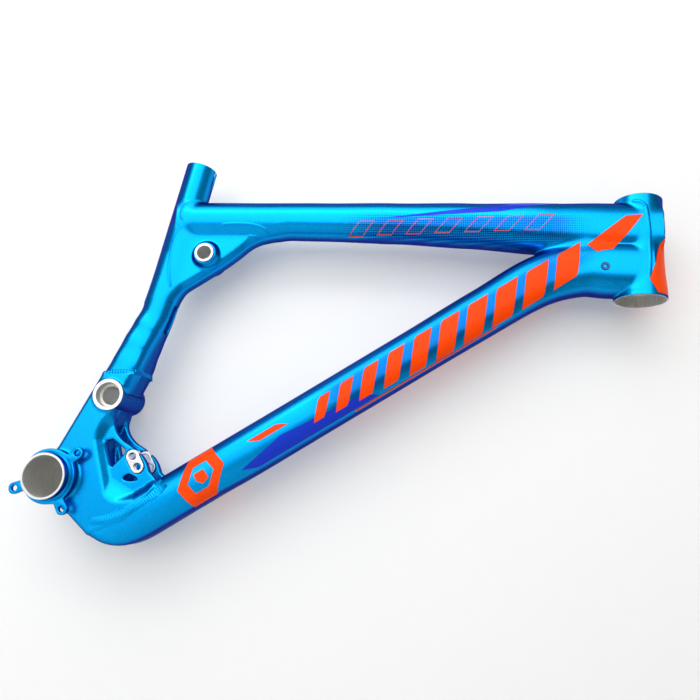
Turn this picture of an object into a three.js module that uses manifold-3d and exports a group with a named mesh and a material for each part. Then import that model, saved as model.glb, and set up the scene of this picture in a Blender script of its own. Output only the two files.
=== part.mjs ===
// Bare front triangle of a full-suspension mountain bike, standing upright.
// Millimetres, +X forward, +Y to the rider's left, +Z up. The origin is the middle of the
// bottom bracket axle line. Every tube's centre line lies in the XZ plane, so the frame is
// symmetric left to right, except for the chain-guide plate and the cable rivnut on the right.
import * as THREE from 'three';
import { mergeVertices } from 'three/addons/utils/BufferGeometryUtils.js';
import Module from 'manifold-3d';

const wasm = await Module();
wasm.setup();

// ---- driving dimensions -------------------------------------------------------------------
const GAP = 0.3;                        // clearance kept between neighbouring pieces
const deg = Math.PI / 180;

const HEAD_ANGLE = 66 * deg;            // head tube from the ground
const SEAT_ANGLE = 75 * deg;            // seat tube from the ground
const TOP_SLOPE = 25.3 * deg;           // top tube rises towards the head
const DOWN_SLOPE = 58.5 * deg;          // straight part of the down tube

const HEAD_BOTTOM = [452.3, 443.1];     // centre of the lower end of the head tube
const HEAD_LENGTH = 111;
const HEAD_R = { rim: 26.1, waist: 23.7, crown: 24.3 };
const HEAD_HEIGHTS = { rim: 5, cone: 20, coneR: 24.9, waist: 36 };      // from the lower end
const HEAD_DEPTHS = { waist: 12, crown: 7, chamfer: 1 };                // from the upper end
const HEAD_WRAP = -1;                   // the tubes end this far in front of the head tube's axis
const HEAD_BORE = { lower: 24.8, middle: 21.4, upper: 22, lowerTaper: 3, upperTaper: 1 };
const HEAD_SEAT_DEPTH = 14;             // depth of both headset cup seats

const SEAT_R = 17.45;                   // 34.9 mm seat tube
const SEAT_BORE_R = 15.8;               // for a 31.6 mm post
const SEAT_OFFSET = 46.7;               // seat tube line, distance in front of the bottom bracket
const SEAT_TOP = 371.8;                 // along the seat tube line
const SEAT_BEND = 235;                  // where the round part ends
const SEAT_SLOT = { half: 1.4, depth: 20 };                             // clamp slot, at the front
const CABLE_WINDOW = { low: 183, high: 215, back: -4, front: 40, half: 5.5, round: 4.5 };

const TOP_LINE = 313.4;                 // upper surface of the top tube, from its slope line
const DOWN_LINE = 79.2;                 // centre line of the down tube, from its slope line
const DOWN_HALF = 24.5;                 // half depth of the down tube's straight part
const TUBE_WALL = 2.4;

const BB = { shellR: 23.15, boreR: 20.5, reliefR: 21.3, half: 45.75, seatDepth: 14, taper: 1 };
const GUIDE = { face: -36.3, thick: 4.8, bcdR: 36.5, hubR: 27.8, earR: 6.1, holeR: 3.05, turn: 66.65 * deg };
const GUIDE_ARM = { root: 32 * deg, rise: 1.5, flare: 1 };              // fillet of each ear into the hub

const CHASSIS_HALF = 25.6;              // half width over the cheeks
const CHASSIS_ROUND = 3;                // its rounded edge
const SLOT_HALF = 11.1;                 // room for a 22.2 mm shock eyelet
const EAR_OUTER = 19;                   // outer face of each shock ear
const RECESS_LEAN = 6;                  // how far the recess walls lean outwards
const BB_SIDES = 40;
const HUB_R = 26.6;
const HUB_END = 32;                     // left face of the bottom bracket hub
const MAIN_PIVOT = { x: 6.3, z: 98.3, r: 16.55, seatR: 12.6, boreR: 10, half: 28.4, seatDepth: 8 };
const ROCKER = {
  x: 13.9, z: 280.5, r: 10.75, boreR: 7.6, half: 21.2, baseR: 15.6, tipR: 12.3, tip: 19.9, edge: 0.7,
};
const GUSSET_HALF = 12.2;               // half width of the web in front of the seat tube
const GUSSET_ROUND = 6;                 // its rounded edge
const CHIP = {
  x: 65.5, z: 51.9, turn: -32.5 * deg, reach: 6, r: 6.8, holeR: 3.9, inner: 11.3, outer: 19.4, edge: 0.5,
};
const RIVNUT = { x: 402.3, z: 451.8, flangeR: 4.4, bodyR: 3.1, boreR: 1.7, flange: 0.7, depth: 9, edge: 0.5 };
const RIVNUT_FACE = -25.1;              // side wall of the down tube at the rivnut

const WELD = { width: 6.4, height: 1.4 };
const SEAT_WELD = { x: 1.9, z: 124, slope: 28 * deg, reach: 18.3, half: 26.1, squareness: 8 };
const DOWN_WELD = [[62, -17], [76.5, -8.5], [87, 2.5], [95, 14.5], [99.8, 28], [100.4, 41]];
const RING_WELD = { rocker: 1.2, shell: 2.4, hollow: 0.35 };

const THROUGH = 60;                     // cutters reach this far to each side
const BLOCK = 200;                      // size of the blocks that stand for half spaces
const BEYOND = 700;                     // past every end of the frame

// ---- materials ----------------------------------------------------------------------------
const CYAN = 0x0aa2e8;
const DEEP_BLUE = 0x0866b8;
const paint = (color = CYAN) => new THREE.MeshStandardMaterial({ color, roughness: 0.32, metalness: 0.55 });
const bare = () => new THREE.MeshStandardMaterial({ color: 0xd9dbdc, roughness: 0.36, metalness: 0.9 });
const dark = () => new THREE.MeshStandardMaterial({ color: 0x1b3f66, roughness: 0.45, metalness: 0.6 });

// ---- solids -------------------------------------------------------------------------------
function solid(geometry) {
  const g = geometry.clone();
  g.deleteAttribute('normal');
  g.deleteAttribute('uv');
  const m = mergeVertices(g, 1e-4);
  const vertProperties = new Float32Array(m.attributes.position.array);
  const build = (corners) => new wasm.Manifold(new wasm.Mesh({
    numProp: 3, vertProperties, triVerts: new Uint32Array(corners),
  }));
  const corners = Array.from(m.index.array);
  const body = build(corners);
  return body.volume() > 0 ? body : build(corners.reverse());
}

function toGeometry(manifold) {
  const mesh = manifold.getMesh();
  const g = new THREE.BufferGeometry();
  g.setAttribute('position', new THREE.BufferAttribute(new Float32Array(mesh.vertProperties), 3));
  g.setIndex(new THREE.BufferAttribute(new Uint32Array(mesh.triVerts), 1));
  const flat = g.toNonIndexed();
  flat.computeVertexNormals();
  return flat;
}

const minus = (body, ...cutters) => cutters.reduce((a, b) => a.subtract(b), body);
const union = (...bodies) => bodies.reduce((a, b) => a.add(b));

// Closed skin over a list of rings. Each ring has the same number of points. The ends are
// capped, or joined to each other when the sweep is a loop.
function skin(rings, loop = false) {
  const n = rings[0].length;
  const points = rings.flat();
  const index = [];
  const at = (i, j) => (i % rings.length) * n + (j % n);
  const spans = loop ? rings.length : rings.length - 1;
  for (let i = 0; i < spans; i += 1) {
    for (let j = 0; j < n; j += 1) {
      index.push(at(i, j), at(i, j + 1), at(i + 1, j + 1));
      index.push(at(i, j), at(i + 1, j + 1), at(i + 1, j));
    }
  }
  if (!loop) {
    for (const end of [0, rings.length - 1]) {
      const centre = new THREE.Vector3();
      rings[end].forEach((p) => centre.add(p));
      points.push(centre.multiplyScalar(1 / n));
      const c = points.length - 1;
      for (let j = 0; j < n; j += 1) {
        if (end === 0) index.push(c, at(end, j + 1), at(end, j));
        else index.push(c, at(end, j), at(end, j + 1));
      }
    }
  }
  const g = new THREE.BufferGeometry();
  g.setAttribute('position', new THREE.Float32BufferAttribute(points.flatMap((p) => [p.x, p.y, p.z]), 3));
  g.setIndex(index);
  return solid(g);
}

// A hydroformed tube. Each station is [x, z, half depth, half width, squareness]: the section
// is a superellipse, round at squareness 2, lying across the centre line.
const TUBE_SIDES = 26;
function tube(stations, { grow = 0, steps = 2, lengthen = 0 } = {}) {
  const line = new THREE.CatmullRomCurve3(stations.map(([x, z]) => new THREE.Vector3(x, 0, z)));
  line.curveType = 'centripetal';
  const last = stations.length - 1;
  const rings = [];
  for (let i = 0; i <= last * steps; i += 1) {
    const u = i / steps;
    const k = Math.min(Math.floor(u), last - 1);
    const f = u - k;
    const ease = f * f * (3 - 2 * f);
    const mix = (m) => THREE.MathUtils.lerp(stations[k][m], stations[k + 1][m], ease);
    const centre = line.getPoint(u / last);
    const along = line.getTangent(u / last);
    const up = new THREE.Vector3(-along.z, 0, along.x);
    if (i === 0) centre.addScaledVector(along, -lengthen);
    if (i === last * steps) centre.addScaledVector(along, lengthen);
    rings.push(section(centre, up, mix(2) + grow, mix(3) + grow, mix(4)));
  }
  return skin(rings);
}

function section(centre, up, depth, width, squareness) {
  const ring = [];
  for (let j = 0; j < TUBE_SIDES; j += 1) {
    const t = (2 * Math.PI * (j + 0.5)) / TUBE_SIDES;
    const bend = (v) => Math.sign(v) * Math.abs(v) ** (2 / squareness);
    const p = centre.clone().addScaledVector(up, depth * bend(Math.cos(t)));
    p.y = width * bend(Math.sin(t));
    ring.push(p);
  }
  return ring;
}

// A solid of revolution about the Y axis through (x, z). The profile is [radius, y] pairs.
function turnedY(x, z, profile, sides = 32) {
  const g = new THREE.LatheGeometry(profile.map(([r, y]) => new THREE.Vector2(r, y)), sides);
  g.translate(x, 0, z);
  return solid(g);
}
const rodY = (x, z, r, y0, y1, sides = 32) => turnedY(x, z, [[0, y0], [r, y0], [r, y1], [0, y1]], sides);
const sleeveY = (x, z, R, r, half) =>
  turnedY(x, z, [[r, -half], [R, -half], [R, half], [r, half], [r, -half]]);

// A side-view outline, extruded from y0 to y1. Shapes are drawn with x forward and y up.
function plate(shape, y0, y1, bevel = 0, curveSegments = 6) {
  const g = new THREE.ExtrudeGeometry(shape, {
    depth: y1 - y0 - 2 * bevel, curveSegments, steps: 1,
    bevelEnabled: bevel > 0, bevelThickness: bevel, bevelSize: bevel, bevelOffset: -bevel, bevelSegments: 1,
  });
  g.rotateX(Math.PI / 2);
  g.translate(0, y1 - bevel, 0);
  return solid(g);
}

function outline(points) {
  const s = new THREE.Shape();
  points.forEach((p, i) => {
    if (i === 0) s.moveTo(p[0], p[1]);
    else if (p.length === 2) s.lineTo(p[0], p[1]);
    else s.quadraticCurveTo(p[0], p[1], p[2], p[3]);
  });
  s.closePath();
  return s;
}

// Rounded bar outline between two end centres.
function stadium(x, z, turn, reach, r) {
  const s = new THREE.Shape();
  const [c, d] = [Math.cos(turn), Math.sin(turn)];
  s.absarc(x + reach * c, z + reach * d, r, turn - Math.PI / 2, turn + Math.PI / 2, false);
  s.absarc(x - reach * c, z - reach * d, r, turn + Math.PI / 2, turn + 1.5 * Math.PI, false);
  s.closePath();
  return s;
}

const mirrored = (body) => body.mirror([0, 1, 0]);
const bothSides = (body) => body.add(mirrored(body));

// ---- centre lines -------------------------------------------------------------------------
// A point given by its distance along a line of the given slope, and its offset to the left
// of that line.
const onSlope = (slope, along, offset) => [
  along * Math.cos(slope) - offset * Math.sin(slope),
  along * Math.sin(slope) + offset * Math.cos(slope),
];
const onSeatLine = (along) => [
  SEAT_OFFSET * Math.sin(SEAT_ANGLE) - along * Math.cos(SEAT_ANGLE),
  SEAT_OFFSET * Math.cos(SEAT_ANGLE) + along * Math.sin(SEAT_ANGLE),
];
const onHeadLine = (along) => [
  HEAD_BOTTOM[0] - along * Math.cos(HEAD_ANGLE),
  HEAD_BOTTOM[1] + along * Math.sin(HEAD_ANGLE),
];

// Top tube: [distance along the slope, half depth, half width, squareness].
const topStations = [
  [95, 20.2, 19.4, 2.3], [180, 20.2, 19.4, 2.3], [260, 20.6, 19.8, 2.4], [340, 21.6, 20.8, 2.5],
  [420, 23.8, 22.4, 2.5], [500, 26.8, 24.2, 2.6], [560, 28.6, 25, 2.7], [618, 29, 25, 2.7],
].map(([s, depth, width, sq]) => [...onSlope(TOP_SLOPE, s, TOP_LINE - depth), depth, width, sq]);

// Down tube: straight up to the neck, then it turns to meet the head tube square on.
const downStations = [
  ...[[-45, DOWN_HALF, 25.8, 3], [40, DOWN_HALF, 25.8, 3], [120, DOWN_HALF, 25.4, 2.7],
    [250, DOWN_HALF, 25, 2.5], [380, 24.8, 24.8, 2.5], [470, 25.6, 24.6, 2.5]]
    .map(([s, depth, width, sq]) => [...onSlope(DOWN_SLOPE, s, -DOWN_LINE), depth, width, sq]),
  [350.5, 417, 26.8, 24.8, 2.6], [382, 446.5, 28, 25, 2.6],
  [411, 461, 29.6, 25, 2.7], [446, 476.5, 30, 25, 2.7],
];

const seatStations = [
  [...onSeatLine(SEAT_TOP), SEAT_R, SEAT_R, 2], [...onSeatLine(290), SEAT_R, SEAT_R, 2],
  [...onSeatLine(SEAT_BEND), SEAT_R, SEAT_R, 2], [-5.2, 199, 17.5, 18.3, 2.2], [-3.3, 178, 17.5, 20.3, 2.6],
  [-1.4, 156, 17.4, 22.6, 3.2], [1.4, 133, 17.6, 24.5, 4], [2.4, 108, 17.8, 25, 4.4],
];

// ---- cutters that stand for whole neighbours ----------------------------------------------
const headCutter = () => {
  const [rim, waist, crown] = [HEAD_R.rim + GAP, HEAD_R.waist + GAP, HEAD_R.crown + GAP];
  const [below, above] = [-GAP, HEAD_LENGTH + GAP];
  return headTurned([[0, below], [rim, below], [rim, HEAD_HEIGHTS.rim + GAP], [waist, HEAD_HEIGHTS.waist],
    [waist, HEAD_LENGTH - HEAD_DEPTHS.waist], [crown, HEAD_LENGTH - HEAD_DEPTHS.crown], [crown, above],
    [0, above]]);
};
function headTurned(profile) {
  const g = new THREE.LatheGeometry(profile.map(([r, h]) => new THREE.Vector2(r, h)), 36);
  g.rotateX(Math.PI / 2);
  g.rotateY(HEAD_ANGLE - Math.PI / 2);
  g.translate(HEAD_BOTTOM[0], 0, HEAD_BOTTOM[1]);
  return solid(g);
}
// Everything in front of the line where the tubes' side walls end.
function headFront() {
  const g = new THREE.BoxGeometry(BLOCK, BLOCK, BLOCK);
  g.translate(BLOCK / 2 + HEAD_WRAP, 0, HEAD_LENGTH / 2);
  g.rotateY(HEAD_ANGLE - Math.PI / 2);
  g.translate(HEAD_BOTTOM[0], 0, HEAD_BOTTOM[1]);
  return solid(g);
}
const seatCutter = () => tube(seatStations, { grow: GAP, lengthen: 4 });
const topCutter = () => tube(topStations, { grow: GAP, lengthen: 4, steps: 1 });

// Half space on one side of the seat tube joint plane, as a large block.
function weldBlock(above) {
  const g = new THREE.BoxGeometry(BLOCK, BLOCK, BLOCK);
  g.translate(0, 0, (above ? 1 : -1) * (BLOCK - GAP) / 2);
  g.rotateY(-SEAT_WELD.slope);
  g.translate(SEAT_WELD.x, 0, SEAT_WELD.z);
  return solid(g);
}

// ---- tubes --------------------------------------------------------------------------------
function headTube() {
  const { rim, waist, crown } = HEAD_R;
  const { lower, middle, upper, lowerTaper, upperTaper } = HEAD_BORE;
  const { chamfer } = HEAD_DEPTHS;
  const top = HEAD_LENGTH;
  return headTurned([
    [lower, 0], [rim, 0], [rim, HEAD_HEIGHTS.rim], [HEAD_HEIGHTS.coneR, HEAD_HEIGHTS.cone],
    [waist, HEAD_HEIGHTS.waist], [waist, top - HEAD_DEPTHS.waist], [crown, top - HEAD_DEPTHS.crown],
    [crown, top - chamfer], [crown - chamfer, top], [upper, top],
    [upper, top - HEAD_SEAT_DEPTH], [middle, top - HEAD_SEAT_DEPTH - upperTaper],
    [middle, HEAD_SEAT_DEPTH + lowerTaper], [lower, HEAD_SEAT_DEPTH], [lower, 0],
  ]);
}

function topTube() {
  const bore = tube(topStations, { grow: -TUBE_WALL, lengthen: 8, steps: 1 });
  return minus(tube(topStations, { steps: 1 }), bore, headCutter(), headFront(), seatCutter());
}

// The foot of the down tube is cut level and rounded at its front corner. Behind its heel it
// rises towards the bottom bracket, through points [x, height over the level].
const FOOT = { level: -32.4, corner: 30, heel: 62, rear: [[-20, 20], [30, 13]], turn: [46, 3] };
function footRegion(inset) {
  const [x, z] = onSlope(DOWN_SLOPE, 0, -DOWN_LINE - DOWN_HALF + inset);
  const level = FOOT.level + inset;
  const edge = (h) => x + (h - z) / Math.tan(DOWN_SLOPE);
  return plate(outline([
    ...FOOT.rear.map(([at, rise]) => [at, level + rise]),
    [FOOT.turn[0], level + FOOT.turn[1], FOOT.heel, level], [edge(level) - FOOT.corner, level],
    [edge(level), level, edge(level + FOOT.corner), level + FOOT.corner],
    [edge(BEYOND), BEYOND], [FOOT.rear[0][0], BEYOND],
  ]), -THROUGH, THROUGH);
}

function downTube() {
  const bore = tube(downStations, { grow: -TUBE_WALL, lengthen: 8 }).intersect(footRegion(TUBE_WALL));
  const outer = tube(downStations).intersect(footRegion(0));
  return minus(outer, bore, headCutter(), headFront(), topCutter(), chassisCutter(), rivnutHole());
}

function seatTube() {
  const [x, z] = onSeatLine(SEAT_TOP);
  const slot = solid(new THREE.BoxGeometry(2 * SEAT_R, 2 * SEAT_SLOT.half, 2 * SEAT_SLOT.depth)
    .translate(SEAT_R, 0, 0).rotateY(SEAT_ANGLE - Math.PI / 2).translate(x, 0, z));
  const bore = tube(seatStations.map(([cx, cz, depth, width, squareness]) => (squareness === 2
    ? [cx, cz, SEAT_BORE_R, SEAT_BORE_R, squareness]
    : [cx, cz, depth - TUBE_WALL, width - TUBE_WALL, squareness])), { lengthen: 8 });
  const { low, high, back, front, half, round } = CABLE_WINDOW;
  const window = plate(outline([[back, low], [back, high], [front, high], [front, low]]), -half, half, round);
  return minus(tube(seatStations), bore, slot, window, weldBlock(false));
}

// ---- seat gusset and rocker pivot ---------------------------------------------------------
const gussetOutline = (inset) => outline([
  [-33, 305], [-20, 205], [0 - inset, 208], [9 - inset, 234 + inset], [22 - inset, 256, 33 - inset, 275],
  [42 - inset, 291, 48 - inset, 307], [54 - inset, 322, 74 - inset, 338], [88 - inset, 362],
]);
function seatGusset() {
  const inner = GUSSET_HALF - TUBE_WALL;
  const hollow = plate(gussetOutline(TUBE_WALL), -inner, inner, GUSSET_ROUND - TUBE_WALL);
  const web = plate(gussetOutline(0), -GUSSET_HALF, GUSSET_HALF, GUSSET_ROUND);
  const barrel = rodY(ROCKER.x, ROCKER.z, ROCKER.r + GAP, -THROUGH, THROUGH);
  return minus(web, hollow, seatCutter(), topCutter(), barrel);
}

function rockerBoss() {
  const { x, z, r, baseR, tipR, tip, edge } = ROCKER;
  const foot = GUSSET_HALF + GAP;
  return turnedY(x, z, [[r + GAP, -foot], [r + GAP, -tip], [tipR, -tip], [tipR + edge, -tip + edge],
    [baseR, -foot], [r + GAP, -foot]]);
}

// ---- bottom bracket chassis ---------------------------------------------------------------
// The joint with the down tube runs from under the bottom bracket up to the shock ears.
const chassisOutline = (grow = 0) => outline([
  [-13.8, 135], [-13.8, 20], [-8, -26, 14, -22], [36, -25 - grow],
  [50 + grow, -25 - grow], [80 + grow, -14 - grow, 93 + grow, 12], [101 + grow, 27, 100 + grow, 41],
  [98 + grow, 47 + grow, 84, 50 + grow], [74, 61 + grow, 58, 62.5 + grow], [52, 63.5, 46, 63.5],
  [24, 66, 18, 88], [16, 104, 17, 145],
]);
const chassisCutter = () => plate(chassisOutline(GAP), -THROUGH, THROUGH);

// Recess in each cheek that leaves the shock ear.
const recessOutline = () => outline([
  [17.5, 84], [14.6, 72], [13.6, 60, 18, 51], [26, 42], [53, 14], [58, 8, 66, 8], [72, 8, 87, 20],
  [95.5, 33], [98, 42, 112, 58], [90, 100], [40, 100],
]);
const slotOutline = () => outline([
  [22, 110], [22, 66], [24, 44, 42, 26], [52, 12, 66, 14], [86, 18, 96, 42], [110, 62], [110, 110],
]);
const windowOutline = () => outline([
  [27, 56], [28, 52], [43.5, 36.5], [46, 36], [51, 54], [50, 57], [32, 60],
]);
const halfMoonOutline = () => outline([
  [63.5, 31], [63, 38, 69, 38.6], [74, 39.4, 77.5, 37.8], [71, 30.4, 63.5, 31],
]);

const spineOutline = () => outline([[0, 135], [19, 135], [19, 70], [0, 60]]);

function chassis() {
  const { x, z, r } = MAIN_PIVOT;
  const block = plate(chassisOutline(), -CHASSIS_HALF, CHASSIS_HALF, CHASSIS_ROUND);
  const hub = rodY(0, 0, HUB_R, GUIDE.face + GUIDE.thick + GAP, HUB_END, BB_SIDES);
  const spine = plate(spineOutline(), -SLOT_HALF, SLOT_HALF);
  const chipSeat = stadium(CHIP.x, CHIP.z, CHIP.turn, CHIP.reach, CHIP.r + GAP);
  return minus(
    union(block, hub, spine),
    bothSides(plate(recessOutline(), -THROUGH, -EAR_OUTER, RECESS_LEAN)),
    plate(slotOutline(), -SLOT_HALF, SLOT_HALF),
    ...[windowOutline(), halfMoonOutline(), chipSeat].map((shape) => plate(shape, -THROUGH, THROUGH)),
    rodY(0, 0, BB.shellR + GAP, -THROUGH, THROUGH, BB_SIDES),
    rodY(x, z, r + GAP, -THROUGH, THROUGH),
    weldBlock(true),
  );
}

function bbShell() {
  const { shellR, boreR, reliefR, half, seatDepth, taper } = BB;
  const lip = half - seatDepth;
  return turnedY(0, 0, [[boreR, -half], [shellR, -half], [shellR, half], [boreR, half], [boreR, lip],
    [reliefR, lip - taper], [reliefR, taper - lip], [boreR, -lip], [boreR, -half]], BB_SIDES);
}

// Three ears at 100, 100 and 160 degrees on one bolt circle.
function guidePlate() {
  const { face, thick, bcdR, hubR, earR, holeR, turn } = GUIDE;
  const { root, rise, flare } = GUIDE_ARM;
  const back = face + thick;
  let body = rodY(0, 0, hubR, face, back, BB_SIDES);
  for (const a of [turn, turn + 160 * deg, turn + 260 * deg]) {
    const at = (along, aside) => onSlope(a, along, aside);
    const [foot, spread] = [hubR * Math.cos(root), hubR * Math.sin(root)];
    const arm = outline([
      at(foot, -spread), [...at(hubR + rise, -earR - flare), ...at(bcdR, -earR)],
      at(bcdR, earR), [...at(hubR + rise, earR + flare), ...at(foot, spread)],
    ]);
    const [x, z] = at(bcdR, 0);
    const ear = rodY(x, z, earR, face, back, 20);
    body = union(body, plate(arm, face, back), ear).subtract(rodY(x, z, holeR, -THROUGH, 0, 16));
  }
  return body.subtract(rodY(0, 0, BB.shellR + GAP, -THROUGH, 0, BB_SIDES));
}

function mainPivotBarrel() {
  const { x, z, r, seatR, boreR, half, seatDepth } = MAIN_PIVOT;
  const lip = half - seatDepth;
  return turnedY(x, z, [[seatR, -half], [r, -half], [r, half], [seatR, half], [seatR, lip],
    [boreR, lip], [boreR, -lip], [seatR, -lip], [seatR, -half]]);
}

// ---- shock-mount chips --------------------------------------------------------------------
function flipChip() {
  const { x, z, turn, reach, r, holeR, inner, outer, edge } = CHIP;
  const holes = [-1, 1].map((side) =>
    rodY(x + side * reach * Math.cos(turn), z + side * reach * Math.sin(turn), holeR, -THROUGH, 0, 16));
  return minus(plate(stadium(x, z, turn, reach, r), -outer, -inner, edge, 7), ...holes);
}

// ---- cable rivnut -------------------------------------------------------------------------
const rivnutHole = () => rodY(RIVNUT.x, RIVNUT.z, RIVNUT.bodyR + GAP, -THROUGH, 0, 20);
function rivnut() {
  const { x, z, flangeR, bodyR, boreR, flange, depth, edge } = RIVNUT;
  const seat = RIVNUT_FACE - GAP;
  return turnedY(x, z, [[boreR, seat - flange], [flangeR - edge, seat - flange], [flangeR, seat],
    [bodyR, seat], [bodyR, seat + depth], [boreR, seat + depth], [boreR, seat - flange]], 20);
}

// ---- weld beads ---------------------------------------------------------------------------
// A half-round bead: each ring of the sweep is built from a point, the direction across the
// bead and the direction that it stands out in.
function bead(path, loop = false) {
  const arcs = 6;
  const rings = path.map(({ at, across, out }) => Array.from({ length: arcs + 1 }, (_, j) => {
    const t = (Math.PI * j) / arcs;
    return at.clone()
      .addScaledVector(across, (WELD.width / 2) * Math.cos(t))
      .addScaledVector(out, WELD.height * Math.sin(t));
  }));
  return skin(rings, loop);
}

// Around the joint of the seat tube and the chassis.
function seatTubeWeld() {
  const { x, z, slope, reach, half, squareness } = SEAT_WELD;
  const across = new THREE.Vector3(0, 0, 1);
  const path = [];
  const bend = (v) => Math.sign(v) * Math.abs(v) ** (2 / squareness);
  for (let i = 0; i < 36; i += 1) {
    const t = (2 * Math.PI * (i + 0.5)) / 36;
    const [c, d] = [Math.cos(t), Math.sin(t)];
    const ahead = reach * bend(c);
    const at = new THREE.Vector3(x + ahead, half * bend(d), z + ahead * Math.tan(slope));
    path.push({ at, across, out: new THREE.Vector3(bend(c), bend(d), 0).normalize() });
  }
  return bead(path, true);
}

// Along the joint of the chassis and the down tube, on one cheek.
function downTubeWeld() {
  const line = new THREE.CatmullRomCurve3(DOWN_WELD.map(([x, z]) => new THREE.Vector3(x, 0, z)));
  const steps = 12;
  const path = Array.from({ length: steps + 1 }, (_, i) => {
    const at = line.getPoint(i / steps).setY(-CHASSIS_HALF - GAP);
    const along = line.getTangent(i / steps);
    return { at, across: new THREE.Vector3(-along.z, 0, along.x), out: new THREE.Vector3(0, -1, 0) };
  });
  return bead(path);
}

// Fillet ring between a turned boss and the face it stands on, on the right.
function ringWeld(x, z, bossR, face, size) {
  const [r, foot, small] = [bossR + GAP, -face - GAP, size * RING_WELD.hollow];
  const hollow = [r + small, foot - size + small];
  return turnedY(x, z, [[r, foot], [r + size, foot], hollow, [r, foot - size], [r, foot]]);
}
const rockerWeld = () => ringWeld(ROCKER.x, ROCKER.z, ROCKER.baseR, GUSSET_HALF, RING_WELD.rocker);

// ---- assembly -----------------------------------------------------------------------------
const frame = new THREE.Group();
function add(name, body, material) {
  const mesh = new THREE.Mesh(toGeometry(body), material);
  mesh.name = name;
  frame.add(mesh);
}

add('head_tube', headTube(), paint());
add('top_tube', topTube(), paint());
add('down_tube', downTube(), paint());
add('seat_tube', seatTube(), paint());
add('seat_gusset', seatGusset(), paint());
add('rocker_boss_right', rockerBoss(), paint(DEEP_BLUE));
add('rocker_boss_left', mirrored(rockerBoss()), paint(DEEP_BLUE));
add('rocker_pivot_sleeve', sleeveY(ROCKER.x, ROCKER.z, ROCKER.r, ROCKER.boreR, ROCKER.half), bare());
add('bb_chassis', chassis(), paint());
add('bb_shell', bbShell(), bare());
add('chain_guide_plate', guidePlate(), paint());
add('main_pivot_barrel', mainPivotBarrel(), bare());
add('flip_chip_right', flipChip(), bare());
add('flip_chip_left', mirrored(flipChip()), bare());
add('cable_rivnut', rivnut(), dark());

add('weld_seat_tube', seatTubeWeld(), paint());
add('weld_down_tube_right', downTubeWeld(), paint());
add('weld_down_tube_left', mirrored(downTubeWeld()), paint());
add('weld_rocker_right', rockerWeld(), paint());
add('weld_rocker_left', mirrored(rockerWeld()), paint());
add('weld_bb_right', ringWeld(0, 0, BB.shellR, -GUIDE.face, RING_WELD.shell), paint());
add('weld_bb_left', mirrored(ringWeld(0, 0, BB.shellR, HUB_END, RING_WELD.shell)), paint());

export default frame;
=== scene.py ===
"""Looks of a bare mountain bike frame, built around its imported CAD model.

The painted tubes and the forging are one smooth distance field, so that every joint gets its fillet.
The field is turned into quads and split back into one skin for each CAD node that it replaces.
Machined rings, the guide plate, weld beads and graphics are pieces of their own.
Lengths in this file are millimetres until a mesh is made.
"""
import math

import bmesh
import bpy
import numpy as np
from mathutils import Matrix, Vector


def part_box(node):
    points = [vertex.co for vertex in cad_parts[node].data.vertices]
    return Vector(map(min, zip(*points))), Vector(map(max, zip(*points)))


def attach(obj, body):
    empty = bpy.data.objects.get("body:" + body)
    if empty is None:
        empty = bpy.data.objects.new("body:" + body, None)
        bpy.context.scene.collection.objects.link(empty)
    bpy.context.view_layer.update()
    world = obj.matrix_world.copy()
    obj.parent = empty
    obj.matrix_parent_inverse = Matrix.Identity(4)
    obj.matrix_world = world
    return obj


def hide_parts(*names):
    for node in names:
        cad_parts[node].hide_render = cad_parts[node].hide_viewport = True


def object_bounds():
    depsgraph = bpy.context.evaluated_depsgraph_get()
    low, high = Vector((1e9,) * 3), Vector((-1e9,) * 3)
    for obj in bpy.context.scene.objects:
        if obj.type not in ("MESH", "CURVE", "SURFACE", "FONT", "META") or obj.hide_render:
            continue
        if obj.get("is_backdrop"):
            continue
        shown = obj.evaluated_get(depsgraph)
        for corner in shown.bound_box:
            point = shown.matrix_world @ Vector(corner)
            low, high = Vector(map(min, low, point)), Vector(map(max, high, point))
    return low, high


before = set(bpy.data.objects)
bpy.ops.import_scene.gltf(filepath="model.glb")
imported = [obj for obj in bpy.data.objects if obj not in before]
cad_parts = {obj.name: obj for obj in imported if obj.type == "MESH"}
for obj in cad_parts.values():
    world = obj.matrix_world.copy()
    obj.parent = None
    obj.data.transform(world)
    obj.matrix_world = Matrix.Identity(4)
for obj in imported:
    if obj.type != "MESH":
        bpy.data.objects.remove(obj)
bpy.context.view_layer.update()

import openvdb
from mathutils import Matrix, Vector
from mathutils.bvhtree import BVHTree

MM = 0.001
SIDES = ((-1, "right"), (1, "left"))
VOXEL = 1.0

# ---- dimensions, the same as the CAD model's ----
HEAD_ANGLE = math.radians(66)
SEAT_ANGLE = math.radians(75)
TOP_SLOPE = math.radians(25.3)
DOWN_SLOPE = math.radians(58.5)
HEAD_BOTTOM = (452.3, 443.1)
HEAD_LENGTH = 111.0
SEAT_OFFSET = 46.7
SEAT_TOP = 371.8
TOP_LINE = 313.4
DOWN_LINE = 79.2
CHASSIS_HALF = 25.6
SLOT_HALF = 11.1
EAR_OUTER = 19.0
HUB_R, HUB_HALF, HUB_SHOULDER = 26.6, 31.6, 32.0
GUSSET_HALF = 12.2
BB = dict(r=23.15, bore=20.5, relief=21.3, half=45.75, seat=14.0)
PIVOT = dict(x=6.3, z=98.3, r=16.55, seat_r=12.6, bore=10.0, half=28.4, seat=8.0, collar=26.6)
ROCKER = dict(x=13.9, z=280.5, r=10.75, bore=7.6, half=21.2, seat=4, base=15.6, tip_r=12.3, tip=19.9)
CHIP = dict(x=65.5, z=51.9, turn=math.radians(-32.5), reach=6.0, r=6.8, gap=0.35, hole=3.9,
            inner=11.3, outer=19.4)
GUIDE = dict(face=-36.3, thick=4.8, bcd=36.5, hub=27.8, ear=6.1, hole=3.05, turn=math.radians(66.65))
RIVNUT = dict(x=402.3, z=451.8, flange=4.4, lip=1.4, barrel=3.1, bore=1.7)
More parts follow.
